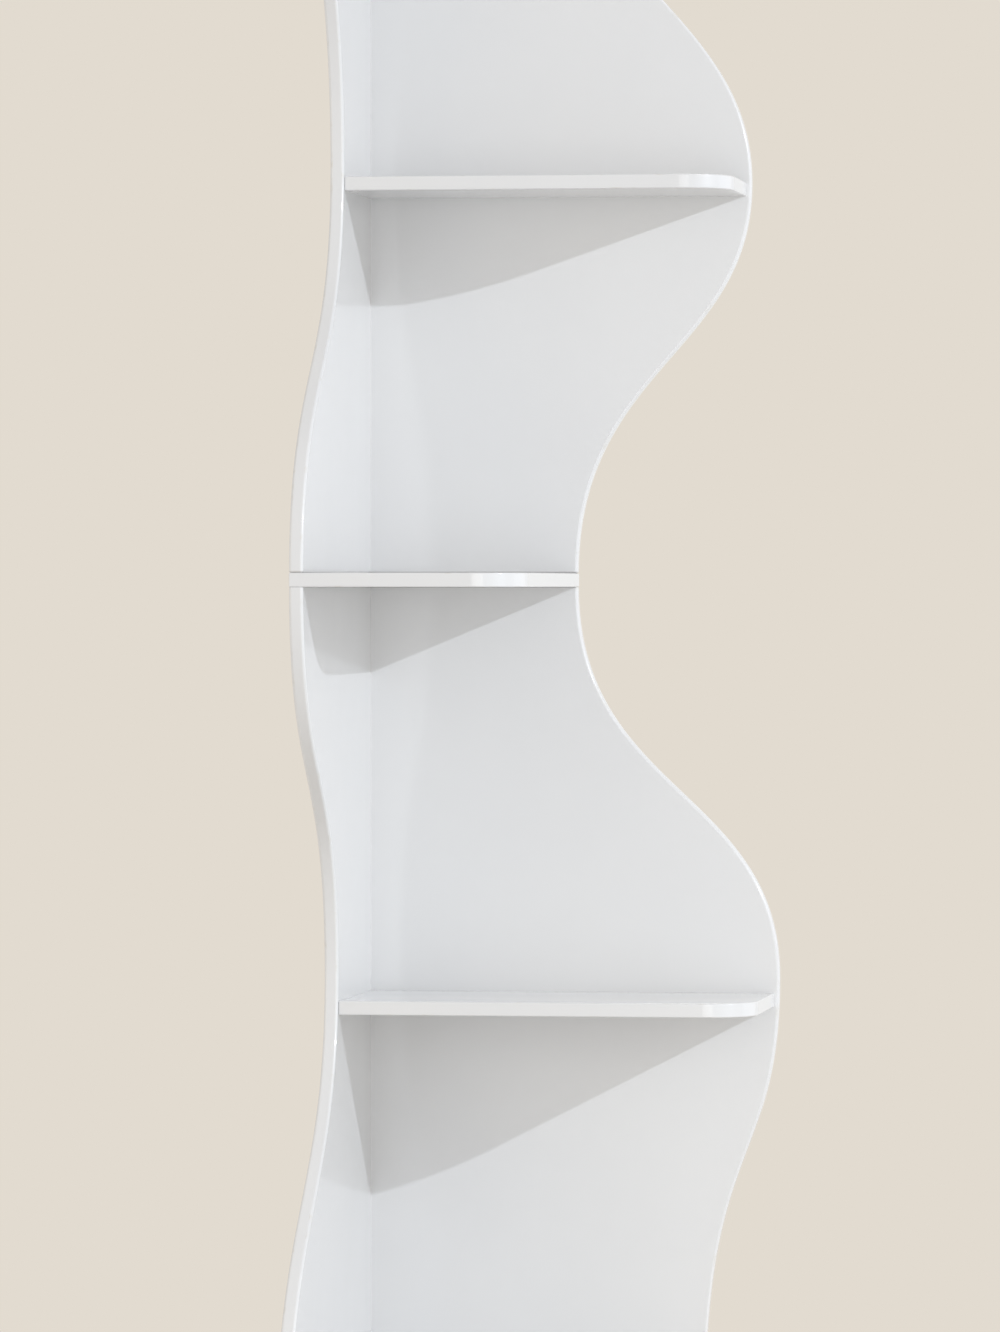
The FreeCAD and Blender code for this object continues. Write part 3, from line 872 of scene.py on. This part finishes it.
bracket_places = []
wall_hole_places = []
foot_hole_places = []
for low, high in solids_of("wall_brackets"):
    middle = (low + high) / 2
    if high.x - low.x > high.y - low.y:
        place = Matrix.Translation((middle.x, high.y, low.z))
    else:
        place = Matrix.Translation((low.x, middle.y, low.z)) @ Matrix.Rotation(math.radians(90), 4, "Z")
    bracket_places.append(place)
    for shift in (-bracket_pitch / 2, bracket_pitch / 2):
        up_leg = Matrix.Translation((shift, 0, (bracket_plate + bracket_rise) / 2))
        wall_hole_places.append(place @ up_leg @ Matrix.Rotation(math.radians(90), 4, "X"))
        foot_hole_places.append(place @ Matrix.Translation((shift, -bracket_foot / 2, 0)))
brackets = fitted("wall_brackets", wall_bracket(), bracket_places, powder_coat)
for radius, places in ((wall_hole_radius, wall_hole_places), (foot_hole_radius, foot_hole_places)):
    punch = rod(radius, -breakout, bracket_plate + breakout, sides=32)
    cut_away(brackets, punch, places, powder_coat)


def pan_screw():
    """Pan-head screw with a cross recess, the crown of its head at z = 0."""
    section = quarter_round(pan_radius, pan_crown, steps=5) + [
        (pan_radius - pan_bevel, pan_head), (pan_screw_core, pan_head), (pan_screw_core, pan_screw_taper),
        (0, pan_screw_length),
    ]
    headed = gathered("headed", turned(section, sides=32), [Matrix()], zinc_plate)
    cut_away(headed, cross(length=0.0044, width=0.0009, depth=0.0016), [Matrix()], zinc_plate)
    shape = bmesh.new()
    shape.from_mesh(headed.data)
    bpy.data.objects.remove(headed)
    add_thread(shape, pan_screw_core, pan_screw_crest, pitch=0.0012, start=0.0030, end=0.0126)
    return shape


pan_screw_places = places_of("bracket_screws", upright_way=-1)
fitted("bracket_screws", pan_screw(), pan_screw_places, zinc_plate)
pan_screw_hole = rod(pan_screw_crest + fit, pan_head, pan_screw_length + fit, sides=16)
bore(["top_board"], pan_screw_hole, pan_screw_places)

# Studio: a pale floor that fades into the plain backdrop, one small key lamp high on the right that throws
# crisp shelf shadows, soft boxes at the right, the left and behind, and even light from all round.
backdrop_colour = (0.761, 0.708, 0.631, 1)
floor_radius = 1.25
fade_start = 0.5
fade_end = 1.2
floor_shape = bmesh.new()
bmesh.ops.create_circle(floor_shape, cap_ends=True, segments=96, radius=floor_radius)
floor_paint, paint = new_finish("pale_floor_paint")
paint.inputs["Base Color"].default_value = backdrop_colour
paint.inputs["Roughness"].default_value = 0.7
paint_tree = floor_paint.node_tree
from_middle = paint_tree.nodes.new("ShaderNodeVectorMath")
from_middle.operation = "LENGTH"
paint_tree.links.new(place_under(paint), from_middle.inputs[0])
fade = spread(from_middle.outputs["Value"], to_low=1.0, to_high=0.0, low=fade_start, high=fade_end)
fade.node.interpolation_type = "SMOOTHSTEP"
paint_tree.links.new(fade, paint.inputs["Alpha"])
floor = shown("studio_floor", floor_shape, floor_paint)
floor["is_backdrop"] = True

world = bpy.data.worlds.new("studio")
bpy.context.scene.world = world
world.use_nodes = True
sky = world.node_tree
for old in list(sky.nodes):
    sky.nodes.remove(old)
backdrop = sky.nodes.new("ShaderNodeBackground")
backdrop.inputs["Color"].default_value = backdrop_colour
round_light = sky.nodes.new("ShaderNodeBackground")
round_light.inputs["Color"].default_value = (1.0, 0.98, 0.968, 1)
round_light.inputs["Strength"].default_value = 0.622
ray = sky.nodes.new("ShaderNodeLightPath")
sees_backdrop = ray.outputs["Is Camera Ray"]
for kind in ("Is Glossy Ray", "Is Transmission Ray"):
    either = sky.nodes.new("ShaderNodeMath")
    either.operation = "MAXIMUM"
    sky.links.new(sees_backdrop, either.inputs[0])
    sky.links.new(ray.outputs[kind], either.inputs[1])
    sees_backdrop = either.outputs["Value"]
choice = sky.nodes.new("ShaderNodeMixShader")
out = sky.nodes.new("ShaderNodeOutputWorld")
sky.links.new(sees_backdrop, choice.inputs["Fac"])
sky.links.new(round_light.outputs["Background"], choice.inputs[1])
sky.links.new(backdrop.outputs["Background"], choice.inputs[2])
sky.links.new(choice.outputs["Shader"], out.inputs["Surface"])


def studio_lamp(name, place, aim, size, colour, energy):
    """Area lamp turned to face a point of the unit, itself unseen by the camera."""
    lamp_data = bpy.data.lights.new(name, "AREA")
    lamp_data.shape = "RECTANGLE"
    lamp_data.size, lamp_data.size_y = size
    lamp_data.color = colour
    lamp_data.energy = energy
    lamp = bpy.data.objects.new(name, lamp_data)
    lamp.location = place
    lamp.rotation_euler = (Vector(aim) - Vector(place)).to_track_quat("-Z", "Y").to_euler()
    lamp.visible_camera = False
    bpy.context.scene.collection.objects.link(lamp)


unit_heart = (0, 0, 0.93)
right_part = (0.1, 0.2, 0.95)
studio_lamp(
    "key_lamp", place=(5.707, -2.789, 3.27), aim=unit_heart,
    size=(0.05, 0.05), colour=(0.865, 0.925, 1.0), energy=218,
)
studio_lamp(
    "front_right_box", place=(0.66, -3.945, 0.93), aim=unit_heart,
    size=(1.6, 1.6), colour=(1.0, 0.99, 0.97), energy=13,
)
studio_lamp(
    "right_box", place=(1.3, -1.3, 0.5), aim=(0.1, 0.2, 0.55),
    size=(1.9, 1.4), colour=(0.72, 0.87, 1.0), energy=4,
)
studio_lamp(
    "front_left_box", place=(-2.6, -3.2, 1.2), aim=unit_heart,
    size=(2.0, 2.0), colour=(1.0, 0.9, 0.72), energy=13.5,
)
studio_lamp(
    "left_box", place=(-2.6, -0.35, 0.95), aim=unit_heart,
    size=(1.5, 1.8), colour=(1.0, 0.98, 0.95), energy=4.0,
)
studio_lamp(
    "low_front_box", place=(0.4, -2.2, 0.12), aim=(0, 0, 0.7),
    size=(1.2, 0.6), colour=(1.0, 0.97, 0.95), energy=0.8,
)
studio_lamp(
    "rear_right_box", place=(2.2, 1.3, 1.0), aim=right_part,
    size=(2.2, 1.6), colour=(0.85, 0.9, 1.0), energy=5.5,
)
studio_lamp(
    "rear_card", place=(0.85, 2.6, 0.95), aim=right_part,
    size=(1.5, 1.8), colour=(0.55, 0.75, 1.0), energy=2.0,
)
studio_lamp(
    "back_box", place=(-0.4, 2.6, 3.4), aim=unit_heart,
    size=(1.6, 1.6), colour=(1.0, 1.0, 1.0), energy=40,
)

camera_data = bpy.data.cameras.new("camera")
camera_data.lens = 199.76
camera_data.clip_end = 100
camera = bpy.data.objects.new("camera", camera_data)
camera.location = (1.0865, -7.7973, 0.9257)
camera.rotation_euler = (math.radians(89.3752), 0, math.radians(8.2064))
bpy.context.scene.collection.objects.link(camera)
bpy.context.scene.camera = camera
bpy.context.scene.view_settings.view_transform = "Standard"

low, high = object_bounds()
